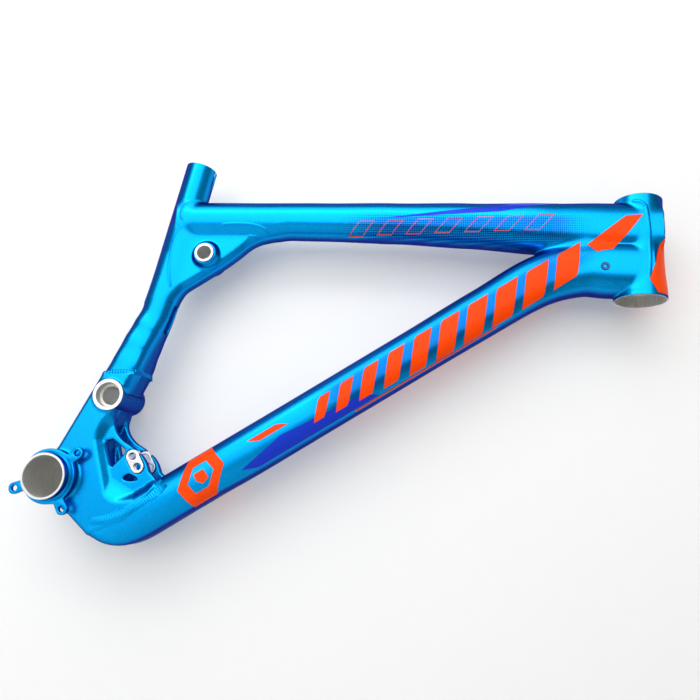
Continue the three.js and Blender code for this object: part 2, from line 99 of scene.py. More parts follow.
SEAT_BORE = dict(r=15.8, end=262)
SEAT_SLOT = dict(half=1.4, deep=20)
SEAT_RIM = dict(inner=15.75, outer=17.5, thick=1.8, sunk=0.6)
CABLE_WINDOW = dict(z=199, flat_y=1.0, flat_z=11.5, r=4.5, floor=4)
SHELL_GAP = 0.3             # clearance round each sleeve that is set into the painted body
FILLETS = dict(top=5, down=9, foot=7, seat=5, gusset=9)


HEAD_COS, HEAD_SIN = math.cos(HEAD_ANGLE), math.sin(HEAD_ANGLE)
SEAT_COS, SEAT_SIN = math.cos(SEAT_ANGLE), math.sin(SEAT_ANGLE)


def unit(rows):
    return rows / np.linalg.norm(rows, axis=1)[:, None]


def run_along(points):
    """Distance run along a line, at each of its points."""
    return np.concatenate([[0], np.cumsum(np.linalg.norm(np.diff(points, axis=0), axis=1))])


def on_slope(slope, along, offset):
    """Side-view point at a distance along a sloping line from the origin, and off it."""
    c, s = math.cos(slope), math.sin(slope)
    return (along * c - offset * s, along * s + offset * c)


def on_seat(along):
    """Side-view point on the seat tube's axis, at a height along it."""
    return (SEAT_OFFSET * SEAT_SIN - along * SEAT_COS, SEAT_OFFSET * SEAT_COS + along * SEAT_SIN)


def on_head(along):
    """Side-view point on the head tube's axis, above its lower end."""
    return (HEAD_BOTTOM[0] - along * HEAD_COS, HEAD_BOTTOM[1] + along * HEAD_SIN)


# Stations of a tube: x, z, half depth, half width, and the power of its superellipse section.
TOP_STATIONS = [(*on_slope(TOP_SLOPE, s, TOP_LINE - d), d, w, n) for s, d, w, n in (
    (95, 20.2, 19.4, 2.3), (180, 20.2, 19.4, 2.3), (260, 20.6, 19.8, 2.4), (340, 21.6, 20.8, 2.5),
    (420, 23.8, 22.4, 2.5), (500, 26.8, 24.2, 2.6), (560, 28.6, 25, 2.7), (618, 29, 25, 2.7))]
DOWN_STATIONS = [(*on_slope(DOWN_SLOPE, s, -DOWN_LINE), d, w, n) for s, d, w, n in (
    (-45, 24.5, 25.8, 3), (40, 24.5, 25.8, 3), (120, 24.5, 25.4, 2.7), (250, 24.5, 25, 2.5),
    (380, 24.8, 24.8, 2.5), (470, 25.6, 24.6, 2.5))] + [
        (350.5, 417, 26.8, 24.8, 2.6), (382, 446.5, 28, 25, 2.6),
        (411, 461, 29.6, 25, 2.7), (446, 476.5, 30, 25, 2.7)]
SEAT_STATIONS = [(*on_seat(h), 17.45, 17.45, 2) for h in (SEAT_TOP - SEAT_RIM["sunk"], 290, 235)] + [
    (-5.2, 199, 17.5, 18.3, 2.2), (-3.3, 178, 17.5, 20.3, 2.6), (-1.4, 156, 17.4, 22.6, 3.2),
    (1.4, 133, 17.6, 24.5, 4), (2.4, 108, 17.8, 25, 4.4)]


# ---- outlines ----
def outline(points, fine=12):
    """Side-view outline from corners (x, z) and curves (control x, control z, x, z)."""
    out = [tuple(points[0])]
    for p in points[1:]:
        if len(p) == 2:
            out.append(tuple(p))
            continue
        a, c, b = np.array(out[-1]), np.array(p[:2]), np.array(p[2:])
        for t in np.linspace(0, 1, fine + 1)[1:]:
            out.append(tuple((1 - t) ** 2 * a + 2 * t * (1 - t) * c + t * t * b))
    return np.array(out, float)


CHASSIS = outline([
    (-13.8, 115.8), (-13.8, 20), (-8, -26, 14, -22), (36, -25.5), (50, -29.5, 62, -32),
    (78, -20, 93, 10), (101, 27, 100, 41), (98, 47, 84, 50), (74, 61, 58, 62.5), (52, 63.5, 46, 63.5),
    (24, 66, 18, 88), (16, 104, 17, 132)])
RECESS = outline([
    (17.5, 84), (14.6, 72), (13.6, 60, 18, 51), (26, 42), (53, 14), (58, 8, 66, 8), (72, 8, 87, 20),
    (95.5, 33), (98, 42, 112, 58), (80, 92), (40, 92), (30, 80)])
SLOT = outline([
    (22, 110), (22, 66), (24, 44, 42, 26), (52, 12, 66, 14), (86, 18, 96, 42), (98, 47), (98, 110)])
WINDOW = outline([(27, 56), (28, 52), (43.5, 36.5), (46, 36), (51, 54), (50, 57), (32, 60)])
HALF_MOON = outline([(63.5, 31), (63, 38, 69, 38.6), (74, 39.4, 77.5, 37.8), (71, 30.4, 63.5, 31)])
SPINE = outline([(0, 135), (19, 135), (19, 70), (0, 60)])
GUSSET = outline([
    (-33, 305), (-20, 205), (0, 208), (9, 234), (22, 256, 33, 275), (42, 291, 48, 307),
    (54, 322, 74, 338), (88, 362)])


def foot():
    """What the down tube's lower end is trimmed to: flat below, with a round corner in front."""
    level, corner, heel, low, high, beyond = -32.4, 30, 62, 60, 200, 700
    x, z = on_slope(DOWN_SLOPE, 60, -DOWN_LINE - DOWN_STATIONS[0][2])

    def edge(h):
        return x + (h - z) / math.tan(DOWN_SLOPE)

    return outline([
        (-20, level + 20), (30, level + 13), (heel - 16, level + 3, heel, level),
        (edge(level) - corner, level), (edge(level), level, edge(level + corner), level + corner),
        (edge(low), low), (edge(high) + 20, high), (beyond, high), (beyond, beyond), (-20, beyond)])


# ---- distance field ----
# Half of the frame is computed, from its right side to the middle plane, and mirrored.
HALF_ROWS = 37
LOW = np.array([-78.0, -HALF_ROWS * VOXEL, -44.0])
EXTENT = (566, 612)                     # length and height of the grid
COUNT = np.array([int(EXTENT[0] / VOXEL) + 1, HALF_ROWS + 1, int(EXTENT[1] / VOXEL) + 1])
axis_x, axis_y, axis_z = (LOW[i] + VOXEL * np.arange(COUNT[i]) for i in range(3))
FAR = 12.0
field = np.full(COUNT, FAR, np.float32)
nearest = np.full(COUNT, FAR, np.float32)
owner = np.zeros(COUNT, np.int8)
owners = []


def region(box):
    """Slices of the grid inside (x0, x1, z0, z1), with its x, y and z as broadcast arrays."""
    x0, x1, z0, z1 = box
    i = slice(*np.searchsorted(axis_x, (x0, x1)))
    k = slice(*np.searchsorted(axis_z, (z0, z1)))
    x = axis_x[i].astype(np.float32)[:, None, None]
    y = axis_y.astype(np.float32)[None, :, None]
    z = axis_z[k].astype(np.float32)[None, None, :]
    return (i, slice(None), k), x, y, z


def sample(distance, x, y, z):
    return np.clip(distance(x, y, z), -FAR, FAR).astype(np.float32)


def soft_min(a, b, k):
    """The smaller of two distances, with a fillet k wide where they are close."""
    h = np.maximum(k - np.abs(a - b), 0) / k
    return np.minimum(a, b) - h * h * k / 4


def join(node, box, distance, k=1.0):
    """Adds a CAD node's solid to the field, with a fillet of k, which may vary with x and z."""
    at, x, y, z = region(box)
    d = sample(distance, x, y, z)
    if node not in owners:
        owners.append(node)
    closer = d < nearest[at]
    owner[at] = np.where(closer, owners.index(node), owner[at])
    nearest[at] = np.minimum(nearest[at], d)
    field[at] = soft_min(field[at], d, k(x, z) if callable(k) else k)


def cut(box, distance, k=1.0):
    """Takes a solid away from the field, with edges rounded by k."""
    at, x, y, z = region(box)
    d = sample(distance, x, y, z)
    field[at] = -soft_min(-field[at], d, k)


def rounded(a, b, r):
    """The corner where two faces meet, given the distance to each, with a radius."""
    return np.minimum(np.maximum(a, b), -r) + np.hypot(np.maximum(a + r, 0), np.maximum(b + r, 0))


def polygon(points, x, z):
    """Signed distance to a closed side-view outline, as an (x, 1, z) array."""
    plane = (x.shape[0], z.shape[2])
    px, pz = np.broadcast_to(x[:, 0], plane), np.broadcast_to(z[0], plane)
    best = np.full(px.shape, 1e9, np.float32)
    inside = np.zeros(px.shape, bool)
    for (ax, az), (bx, bz) in zip(points, np.roll(points, -1, 0)):
        ex, ez = bx - ax, bz - az
        t = np.clip(((px - ax) * ex + (pz - az) * ez) / (ex * ex + ez * ez + 1e-12), 0, 1)
        best = np.minimum(best, np.hypot(px - ax - t * ex, pz - az - t * ez))
        crosses = (az > pz) != (bz > pz)
        inside ^= crosses & (px < ax + ex * (pz - az) / (ez if ez else 1e-9))
    return np.where(inside, -best, best)[:, None, :]


def box_of(points, pad=14):
    """The (x0, x1, z0, z1) round an outline, with a margin."""
    lo, hi = points.min(0) - pad, points.max(0) + pad
    return lo[0], hi[0], lo[1], hi[1]


def slab(points, half, r):
    """Distance to a plate of the outline's shape, with round edges."""
    return lambda x, y, z: rounded(polygon(points, x, z), np.abs(y) - half, r)


def through(points):
    """Distance to the outline as an endless prism."""
    return lambda x, y, z: polygon(points, x, z) + 0 * y


def centre_line(stations, per=14):
    """Centripetal Catmull-Rom through the stations: points, tangents, sizes and distance run."""
    p = np.array([s[:2] for s in stations], float)
    p = np.vstack([2 * p[0] - p[1], p, 2 * p[-1] - p[-2]])
    sizes = np.array([s[2:] for s in stations], float)
    pts, att = [], []
    for k in range(len(stations) - 1):
        q = p[k:k + 4]
        t = np.concatenate([[0], np.cumsum(np.linalg.norm(np.diff(q, axis=0), axis=1) ** 0.5)])
        for f in np.arange(per) / per if k < len(stations) - 2 else np.arange(per + 1) / per:
            u = t[1] + f * (t[2] - t[1])
            a = [((t[i + 1] - u) * q[i] + (u - t[i]) * q[i + 1]) / (t[i + 1] - t[i]) for i in range(3)]
            b = [((t[i + 2] - u) * a[i] + (u - t[i]) * a[i + 1]) / (t[i + 2] - t[i]) for i in range(2)]
            pts.append(((t[2] - u) * b[0] + (u - t[1]) * b[1]) / (t[2] - t[1]))
            e = f * f * (3 - 2 * f)
            att.append(sizes[k] * (1 - e) + sizes[k + 1] * e)
    pts, att = np.array(pts), np.array(att)
    return pts, unit(np.gradient(pts, axis=0)), att, run_along(pts)


def tube(stations):
    """Distance to a tube of superellipse section, to first order, with flat ends."""
    pts, tangent, att, run = centre_line(stations)

    def distance(x, y, z):
        gx, gz = np.broadcast_arrays(x[:, 0], z[0])
        p = np.stack([gx.ravel(), gz.ravel()], 1)
        pick = np.concatenate([((c[:, None] - pts[None]) ** 2).sum(2).argmin(1)
                               for c in np.array_split(p, max(1, len(p) // 20000))])
        off = p - pts[pick]
        t = (off * tangent[pick]).sum(1)
        u = off[:, 1] * tangent[pick, 0] - off[:, 0] * tangent[pick, 1]
        s = run[pick] + t
        depth, width, n = (np.interp(s, run, att[:, i]).reshape(gx.shape)[:, None].astype(np.float32)
                           for i in range(3))
        u = np.abs(u).reshape(gx.shape)[:, None].astype(np.float32) + 1e-4
        v = np.abs(y) + 1e-4
        end = np.maximum(-s, s - run[-1]).reshape(gx.shape)[:, None]
        fu, fv = (u / depth) ** n, (v / width) ** n
        total = fu + fv
        f = total ** (1 / n)
        slope = f / total * np.hypot(fu / u, fv / v)
        return np.maximum((f - 1) / slope, end)

    return distance


def stations_box(stations, pad=34):
    return box_of(np.array([s[:2] for s in stations]), pad)


def box_round(x, z, half):
    return x - half, x + half, z - half, z + half


def head_axis(x, y, z):
    """Radius from the head tube's axis, and height along it."""
    dx, dz = x - HEAD_BOTTOM[0], z - HEAD_BOTTOM[1]
    return np.hypot(dx * HEAD_SIN + dz * HEAD_COS, y), dz * HEAD_SIN - dx * HEAD_COS


def head_outside(x, y, z):
    """Distance to the head tube's outside: wide at its foot, with a shallow collar at its top."""
    r, h = head_axis(x, y, z)
    top = HEAD_LENGTH
    wall = np.interp(h, [0, 6, 14, 26, 40, top - 16, top - 9, top],
                     [26.1, 26.0, 25.5, 24.3, 23.7, 23.7, 24.3, 24.3])
    return rounded(r - wall, np.abs(h - top / 2) - top / 2, 0.7)


def seat_axis(x, y, z):
    """Radius from the seat tube's axis, and height along it."""
    return np.hypot(x * SEAT_SIN + z * SEAT_COS - SEAT_OFFSET, y), z * SEAT_SIN - x * SEAT_COS


def seat_bore(x, y, z):
    r, h = seat_axis(x, y, z)
    return np.maximum(r - SEAT_BORE["r"], SEAT_BORE["end"] - h)


def seat_slot(x, y, z):
    """The clamp slot in the front of the seat tube's top."""
    _, h = seat_axis(x, y, z)
    ahead = x * SEAT_SIN + z * SEAT_COS - SEAT_OFFSET
    narrow, deep = np.abs(y) - SEAT_SLOT["half"], SEAT_TOP - SEAT_SLOT["deep"] - h
    return np.maximum(np.maximum(narrow, deep), -ahead)


def cable_window(x, y, z):
    """The round-cornered opening in the front of the seat tube, with its floor a little way in."""
    w = CABLE_WINDOW
    a, b = np.abs(y) - w["flat_y"], np.abs(z - w["z"]) - w["flat_z"]
    edge = np.hypot(np.maximum(a, 0), np.maximum(b, 0)) + np.minimum(np.maximum(a, b), 0) - w["r"]
    return np.maximum(edge, w["floor"] - x)


def rod(cx, cz, r, half, round_edge=0.8):
    """Distance to a solid cylinder across the frame."""
    return lambda x, y, z: rounded(np.hypot(x - cx, z - cz) - r, np.abs(y) - half, round_edge)


def bore(cx, cz, r):
    """Distance to an endless cylinder across the frame."""
    return lambda x, y, z: np.hypot(x - cx, z - cz) - r + 0 * y


def boss(x, y, z):
    """Distance to the two rocker bosses, which widen towards their tips."""
    r = np.hypot(x - ROCKER["x"], z - ROCKER["z"])
    wall = np.interp(np.abs(y), [GUSSET_HALF, ROCKER["tip"]], [ROCKER["base"], ROCKER["tip_r"]])
    return rounded((r - wall) * 0.9, np.abs(y) - ROCKER["tip"], 0.9)


def chip_seat(x, y, z):
    """Distance to the slot with round ends that each chip sits in."""
    c, s = math.cos(CHIP["turn"]), math.sin(CHIP["turn"])
    dx, dz = x - CHIP["x"], z - CHIP["z"]
    along = np.clip(dx * c + dz * s, -CHIP["reach"], CHIP["reach"])
    return np.hypot(dx - along * c, dz - along * s) - CHIP["r"] - CHIP["gap"] + 0 * y


def recess(x, y, z):
    """The pocket round each ear: its walls lean outwards to the side of the forging."""
    wall_lean, sill_lean, sill_z = 1.15, 2.4, 8
    depth = CHASSIS_HALF - np.abs(y)
    wall = (polygon(RECESS, x, z) + wall_lean * depth) / math.hypot(1, wall_lean)
    sill = (sill_z - z + sill_lean * depth) / math.hypot(1, sill_lean)
    return rounded(rounded(wall, sill, 1.0), EAR_OUTER - np.abs(y), 1.2)


def fillet_to(wide, tight=2.0):
    """A wide fillet between tubes that tightens towards the head tube."""
    near, far = 26, 60          # distances behind the head tube's axis
    return lambda x, z: np.interp(-(x - HEAD_BOTTOM[0]) * HEAD_SIN - (z - HEAD_BOTTOM[1]) * HEAD_COS,
                                  [near, far], [tight, wide])


def build_field():
    down_foot = foot()
    hub_box = box_round(0, 0, 40)
    pivot_box = box_round(PIVOT["x"], PIVOT["z"], 30)
    rocker_box = box_round(ROCKER["x"], ROCKER["z"], 26)
    down = tube(DOWN_STATIONS)
    join("head_tube", (380, 482, 425, 560), head_outside)
    join("top_tube", stations_box(TOP_STATIONS), tube(TOP_STATIONS), fillet_to(FILLETS["top"]))
    join("down_tube", stations_box(DOWN_STATIONS),
         lambda x, y, z: -soft_min(-down(x, y, z), -polygon(down_foot, x, z), FILLETS["foot"]),
         fillet_to(FILLETS["down"]))
    join("seat_tube", stations_box(SEAT_STATIONS, 26), tube(SEAT_STATIONS), FILLETS["seat"])
    join("seat_gusset", box_of(GUSSET), slab(GUSSET, GUSSET_HALF, 9), FILLETS["gusset"])
    join("bb_chassis", box_of(CHASSIS), slab(CHASSIS, CHASSIS_HALF, 4), 2)
    join("bb_chassis", hub_box, rod(0, 0, HUB_R, HUB_HALF), 4)
    join("bb_chassis", pivot_box, rod(PIVOT["x"], PIVOT["z"], PIVOT["r"] + 0.2, PIVOT["collar"]), 3)
    join("rocker_boss_right", rocker_box, boss, 2.4)
    # everything that is cut away
    cut(box_of(RECESS), recess, 1.6)
    cut(box_of(SLOT), slab(SLOT, SLOT_HALF, 2), 2)
    cut(box_of(WINDOW), through(WINDOW), 2)
    cut(box_of(HALF_MOON), through(HALF_MOON), 1)
    join("bb_chassis", box_of(SPINE), slab(SPINE, SLOT_HALF + 1, 2), 2)
    cut((45, 90, 30, 75), chip_seat, 0.8)
    cut(hub_box, bore(0, 0, BB["r"] - SHELL_GAP), 0.6)
    cut(pivot_box, bore(PIVOT["x"], PIVOT["z"], PIVOT["r"] - SHELL_GAP), 0.6)
    cut(rocker_box, bore(ROCKER["x"], ROCKER["z"], ROCKER["r"] - SHELL_GAP), 0.6)
    cut((-80, 10, 255, 380), seat_bore, 0.6)
    cut((-80, 10, 340, 380), seat_slot, 0.5)
    cut((0, 40, 175, 225), cable_window, 0.8)


def skin():
    """Quads of the whole mirrored field, with normals from its slope and the node that owns each."""
    full = np.concatenate([field, field[:, -2::-1, :]], 1)
    grid = openvdb.FloatGrid(3.0)
    grid.copyFromArray(np.clip(full, -3, 3), ijk=(0, 0, 0), tolerance=0)
    points, quads = grid.convertToQuads(isovalue=0.0)
    points = np.asarray(points, np.float32)
    quads = np.asarray(quads, np.int64)
    slope = np.stack(np.gradient(full), -1)
    low = np.clip(np.floor(points).astype(int), 0, np.array(full.shape) - 2)
    f = points - low
    normal = np.zeros((len(points), 3), np.float32)
    for corner in range(8):
        d = np.array([corner & 1, corner >> 1 & 1, corner >> 2 & 1])
        w = np.prod(np.where(d, f, 1 - f), 1)[:, None]
        at = low + d
        normal += w * slope[at[:, 0], at[:, 1], at[:, 2]]
    normal /= np.linalg.norm(normal, axis=1)[:, None] + 1e-9
    centre = np.rint(points[quads].mean(1)).astype(int)
    half = COUNT[1] - 1
    left = centre[:, 1] > half
    centre[:, 1] = np.where(left, 2 * half - centre[:, 1], centre[:, 1])
    centre = np.clip(centre, 0, COUNT - 1)
    mine = owner[centre[:, 0], centre[:, 1], centre[:, 2]]
    return (points * VOXEL + LOW) * MM, quads, normal, mine, left


# ---- mesh helpers ----
def placed(name, data):
    thing = bpy.data.objects.new(name, data)
    bpy.context.scene.collection.objects.link(thing)
    return thing


def new_mesh(name, points, faces, normals=None):
    mesh = bpy.data.meshes.new(name)
    mesh.from_pydata(points, [], faces)
    mesh.validate()
    mesh.shade_smooth()
    if normals is not None:
        mesh.normals_split_custom_set_from_vertices(normals)
    return placed(name, mesh)


def part(points, quads, normals, keep):
    """The kept quads alone, with the points and normals that they use, as lists."""
    used, local = np.unique(quads[keep], return_inverse=True)
    return points[used].tolist(), local.reshape(-1, 4).tolist(), normals[used].tolist()


def dress(piece, body, slot, *materials, stands_for=()):
    """Gives a piece its materials and body, and hides the CAD nodes that it stands in for. The slot is
    not used.
    """
    for m in materials:
        piece.data.materials.append(m)
    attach(piece, body)
    if stands_for:
        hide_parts(*stands_for)
    return piece


def turned(name, centre, profile, sides=96, axis=(0, 1, 0)):
    """A closed solid of revolution from (radius, distance along the axis, material) triples."""
    axis = Vector(axis)
    u = Vector((1, 0, 0)) if axis.y else Vector((0, 1, 0))
    v = axis.cross(u)
    start = Vector((centre[0], 0, centre[1]))
    points = [(start + axis * t + u * (r * math.cos(a)) + v * (r * math.sin(a))) * MM
              for r, t, _ in profile for a in np.arange(sides) * 2 * math.pi / sides]
    rows = [(i * sides, (i + 1) % len(profile) * sides) for i in range(len(profile))]
    steps = [(j, (j + 1) % sides) for j in range(sides)]
    faces = [(a + j, a + k, b + k, b + j) for a, b in rows for j, k in steps]
    piece = new_mesh(name, points, faces)
    for i, (_, _, kind) in enumerate(profile):
        for j in range(sides):
            piece.data.polygons[i * sides + j].material_index = kind
    fix_normals(piece)
    return piece


def fix_normals(piece, sharp=35, weld=None):
    """Turns all faces outwards and marks the edges sharper than the angle."""
    b = bmesh.new()
    b.from_mesh(piece.data)
    if weld:
        bmesh.ops.remove_doubles(b, verts=b.verts, dist=weld)
    bmesh.ops.recalc_face_normals(b, faces=b.faces)
    b.to_mesh(piece.data)
    b.free()
    piece.data.shade_smooth()
    piece.data.set_sharp_from_angle(angle=math.radians(sharp))


def arc(cx, cz, r, a0, a1, n):
    """Points from angle a0 to a1, in degrees."""
    return [(cx + r * math.cos(math.radians(a)), cz + r * math.sin(math.radians(a)))
            for a in np.linspace(a0, a1, n)]


def flat_piece(name, loops, y0, y1, bevel, fine=3):
    """A plate with round edges, from side-view loops: the outline first, then its holes."""
    curve = bpy.data.curves.new(name, "CURVE")
    curve.dimensions, curve.fill_mode = "2D", "BOTH"
    curve.extrude = ((y1 - y0) / 2 - bevel) * MM
    curve.bevel_depth, curve.bevel_resolution = bevel * MM, fine
    curve.offset = -bevel * MM
    for loop in loops:
        spline = curve.splines.new("POLY")
        spline.points.add(len(loop) - 1)
        for p, (x, z) in zip(spline.points, loop):
            p.co = (x * MM, z * MM, 0, 1)
        spline.use_cyclic_u = True
    holder = placed(name + "_curve", curve)
    bpy.context.view_layer.update()
    mesh = bpy.data.meshes.new_from_object(holder.evaluated_get(bpy.context.evaluated_depsgraph_get()))
    bpy.data.objects.remove(holder)
    mesh.transform(Matrix(((1, 0, 0, 0), (0, 0, -1, (y0 + y1) / 2 * MM), (0, 1, 0, 0), (0, 0, 0, 1))))
    mesh.name = name
    piece = placed(name, mesh)
    fix_normals(piece, 40, weld=1e-6)
    return piece


def circle(cx, cz, r, n=40):
    return [(cx + r * math.cos(a), cz + r * math.sin(a)) for a in np.arange(n) * 2 * math.pi / n]


# ---- weld beads ----
class Surface:
    """The painted body, met by rays that are given in millimetres."""

    def __init__(self, points, quads):
        self.tree = BVHTree.FromPolygons([Vector(p) for p in points], [tuple(q) for q in quads])
        self.reach = 120 * MM

    def hit(self, start, towards):
        towards = Vector(towards)
        at, normal, _, _ = self.tree.ray_cast(Vector(start) * MM, towards.normalized(), self.reach)
        if at is None:
            return None
        if normal.dot(towards) > 0:
            normal = -normal
        return np.array(at) / MM, np.array(normal)


def bead(name, path, width, height, ripple=0.16, pitch=2.3, closed=False, taper=3):
    """A rippled weld bead along (point, normal) pairs that lie on the surface, in millimetres."""
    at = np.array([p for p, _ in path])
    out = np.array([n for _, n in path])
    ahead = np.roll(at, -1, 0) - np.roll(at, 1, 0) if closed else np.gradient(at, axis=0)
    step = np.linalg.norm(np.diff(at, axis=0, append=at[:1] if closed else at[-1:]), axis=1)
    run = np.concatenate([[0], np.cumsum(step)[:-1]])
    total = step.sum()
    if closed:
        pitch = total / round(total / pitch)
    across = unit(np.cross(out, ahead))
    cells, sunk = 14, 0.25
    points, faces = [], []
    for i in range(len(at)):
        fade = 1.0 if closed else min(1, run[i] / taper, (total - run[i]) / taper + 1e-3)
        for j in range(cells + 1):
            v = 2 * j / cells - 1
            phase = 2 * math.pi * (run[i] - width / 4 * (1 - v * v)) / pitch
            wave = ripple * (1 - v * v) * (abs(math.sin(phase / 2)) * 2 - 1)
            lift = height * (1 - v * v) * fade + wave * fade - sunk
            wide = width / 2 * (1 + 0.04 * math.sin(phase))
            points.append((at[i] + across[i] * v * wide + out[i] * lift) * MM)
    rows = len(at)
    for i in range(rows if closed else rows - 1):
        for j in range(cells):
            a, b = i * (cells + 1) + j, ((i + 1) % rows) * (cells + 1) + j
            faces.append((a, b, b + 1, a + 1))
    piece = new_mesh(name, points, faces)
    fix_normals(piece, 60)
    return piece


def resample(points, step=0.35):
    """Even steps along a line."""
    points = np.asarray(points, float)
    run = run_along(points)
    s = np.arange(0, run[-1], step)
    return np.stack([np.interp(s, run, points[:, i]) for i in range(points.shape[1])], 1)


def smooth(values, passes, closed=False):
    values = np.array(values, float)
    for _ in range(passes):
        before, after = np.roll(values, 1, 0), np.roll(values, -1, 0)
        if not closed:
            before[0], after[-1] = values[0], values[-1]
        values = (before + 2 * values + after) / 4
    return values


def from_side(side):
    """Rays that drop a side-view shape onto the right (-1) or left (+1) of the frame."""
    return lambda x, z: ((x, side * 70, z), (0, -side, 0))


def path_through(hits, passes, closed=False):
    """Smooth (point, normal) pairs from what rays hit. passes is (for points, for normals)."""
    at, n = (smooth([hit[i] for hit in hits if hit], passes[i], closed) for i in (0, 1))
    return list(zip(at, unit(n)))


def side_path(surface, points, side):
    """Drops a side-view line onto the surface from the right (-1) or left (+1)."""
    rays = from_side(side)
    return path_through([surface.hit(*rays(x, z)) for x, z in resample(points)], (6, 10))


def ring_path(surface, centre, across, up, count=400, reach=60):
    """Where rays from outside meet the surface all round a joint, in the plane of across and up."""
    hits = []
    for a in np.arange(count) * 2 * math.pi / count:
        d = np.array(across) * math.cos(a) + np.array(up) * math.sin(a)
        hits.append(surface.hit(np.array(centre) + d * reach, -d))
    return path_through(hits, (8, 14), True)


def torus_fillet(name, centre, r, y, size, side, stands_for):
    """The small fillet round a boss where it stands on a face at y."""
    hollow = [(r + size * (1 - math.sin(a)), y + side * size * (1 - math.cos(a)), 0)
              for a in np.linspace(0, math.pi / 2, 7)]
    piece = turned(name, centre, [(r - 0.3, y, 0), *hollow[::-1], (r - 0.3, y + side * size, 0)])
    dress(piece, "frame", "weld_paint", weld_paint, stands_for=stands_for)


# ---- graphics ----
TILT_LIFT = 0.35            # how much higher a graphic lies where the surface turns away
WRAP_R = 25                 # radius that the head tube's graphic is laid out on


def round_head(arc_length, along):
    """Rays that wrap a flat shape round the front of the head tube."""
    a = arc_length / WRAP_R
    out = np.array((math.cos(a) * HEAD_SIN, math.sin(a), math.cos(a) * HEAD_COS))
    x, z = on_head(along)
    return np.array((x, 0, z)) + out * 50, -out


def decal(name, shapes, surface, rays, colour, lift, cell=1.5):
    """A printed graphic, given as flat outlines, laid on the surface where its rays land."""
    b = bmesh.new()
    for shape in shapes:
        b.faces.new([b.verts.new((x, 0, z)) for x, z in shape])
    lo, hi = np.min(np.vstack(shapes), 0), np.max(np.vstack(shapes), 0)
    for axis, (a, c) in enumerate(zip(lo, hi)):
        normal = (1, 0, 0) if axis == 0 else (0, 0, 1)
        for cut_at in np.arange(a + cell, c, cell):
            at = (cut_at, 0, 0) if axis == 0 else (0, 0, cut_at)
            bmesh.ops.bisect_plane(b, geom=b.verts[:] + b.edges[:] + b.faces[:],
                                   plane_co=at, plane_no=normal)
    bmesh.ops.triangulate(b, faces=b.faces)
    out, lost = {}, []
    for v in b.verts:
        hit = surface.hit(*rays(v.co.x, v.co.z))
        if hit is None:
            lost.append(v)
            continue
        out[v] = Vector(hit[1])
        away = 1 - abs(float(np.dot(hit[1], rays(v.co.x, v.co.z)[1])))
        v.co = Vector((hit[0] + hit[1] * (lift + TILT_LIFT * away)) * MM)
    bmesh.ops.delete(b, geom=lost, context="VERTS")
    bmesh.ops.recalc_face_normals(b, faces=b.faces)
    if sum(f.normal.dot(out[f.verts[0]]) for f in b.faces) < 0:
        bmesh.ops.reverse_faces(b, faces=b.faces)
    mesh = bpy.data.meshes.new(name)
    b.to_mesh(mesh)
    b.free()
    mesh.shade_smooth()
    return dress(placed(name, mesh), "frame", "frame_paint", colour)


def down_frame(points):
    """Outlines on the down tube: (distance along its line, distance across it, upwards)."""
    return [on_slope(DOWN_SLOPE, s, -DOWN_LINE + u) for s, u in points]


def top_frame(points):
    """Outlines on the top tube: (distance along its slope, distance below its upper edge)."""
    return [on_slope(TOP_SLOPE, s, TOP_LINE - d) for s, d in points]


# ---- materials ----
class Recipe:
    """A material under construction: its nodes, links and shader."""

    def __init__(self, name):
        self.material = bpy.data.materials.new(name)
        self.material.use_nodes = True
        self.tree = self.material.node_tree
        self.link = self.tree.links.new
        self.shader = self.tree.nodes["Principled BSDF"]

    def node(self, kind, **values):
        n = self.tree.nodes.new(kind)
        for key, value in values.items():
            if key in n.inputs:
                n.inputs[key].default_value = value
            else:
                setattr(n, key, value)
        return n

    def feed(self, socket, result):
        self.link(result, self.shader.inputs[socket])

    def settings(self, values):
        for socket, value in values.items():
            self.shader.inputs[socket].default_value = value

    def object_space(self, scale=(1, 1, 1), rotation=(0, 0, 0)):
        place = self.node("ShaderNodeMapping", Scale=scale, Rotation=rotation)
        self.link(self.node("ShaderNodeTexCoord").outputs["Object"], place.inputs["Vector"])
        return place.outputs["Vector"]

    def texture(self, kind, at, **values):
        n = self.node(kind, **values)
        self.link(at, n.inputs["Vector"])
        return n

    def ramp(self, value, start, end):
        """0 before start, 1 after end, smooth in between."""
        step = self.node("ShaderNodeMapRange", interpolation_type="SMOOTHSTEP")
        step.inputs["From Min"].default_value, step.inputs["From Max"].default_value = start, end
        self.link(value, step.inputs["Value"])
        return step.outputs["Result"]

    def spread(self, value, low, high):
        """Maps 0 to 1 onto low to high, which are two numbers or two colours."""
        if isinstance(low, tuple):
            step = self.node("ShaderNodeMapRange", data_type="FLOAT_VECTOR")
            source, start, end = (step.inputs[i] for i in (6, 9, 10))
            result = step.outputs["Vector"]
        else:
            step = self.node("ShaderNodeMapRange")
            source, start, end = (step.inputs[key] for key in ("Value", "To Min", "To Max"))
            result = step.outputs["Result"]
        start.default_value, end.default_value = low, high
        self.link(value, source)
        return result

    def maths(self, operation, a, b):
        """a and b combined. b is a result or a plain number."""
        n = self.node("ShaderNodeMath", operation=operation)
        self.link(a, n.inputs[0])
        if isinstance(b, float):
            n.inputs[1].default_value = b
        else:
            self.link(b, n.inputs[1])
        return n.outputs["Value"]

    def mixed(self, factor, a, b):
        """Colour a, or b where the factor is 1."""
        n = self.node("ShaderNodeMix", data_type="RGBA")
        self.link(factor, n.inputs["Factor"])
        for socket, colour in (("A", a), ("B", b)):
            if isinstance(colour, tuple):
                n.inputs[socket].default_value = (*colour, 1)
            else:
                self.link(colour, n.inputs[socket])
        return n.outputs["Result"]

    def bump(self, height, strength, distance):
        n = self.node("ShaderNodeBump", Strength=strength, Distance=distance)
        self.link(height, n.inputs["Height"])
        self.feed("Normal", n.outputs["Normal"])


